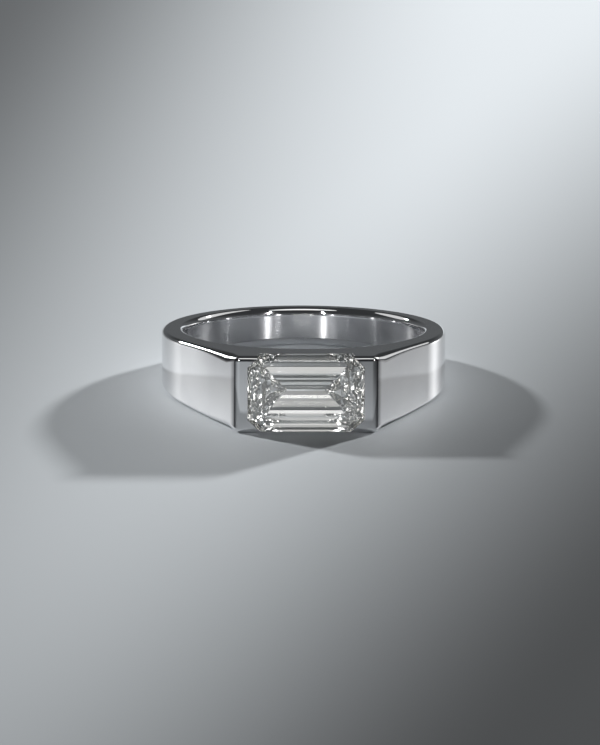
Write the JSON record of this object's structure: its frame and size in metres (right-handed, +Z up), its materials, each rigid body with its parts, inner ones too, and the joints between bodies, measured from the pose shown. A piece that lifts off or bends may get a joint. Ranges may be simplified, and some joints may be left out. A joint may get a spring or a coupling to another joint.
{
  "type": "east west signet ring",
  "caption": "Polished white-metal ring with flat side faces and a block head that holds a step-cut stone lying across the finger between two upright end bars.",
  "frame": {"origin": "on the resting surface, under the middle of the ring's box", "axes": "+Z up from the resting surface and within 4 degrees of the finger hole's axis, +Y from the head to the back of the shank, +X along the stone"},
  "size_m": [0.0206, 0.0222, 0.0057],
  "materials": {
    "white_gold": "mirror polish",
    "diamond": "polished facets"
  },
  "bodies": {
    "root": {"band": "white_gold", "stone": "diamond"}
  },
  "joints": []
}
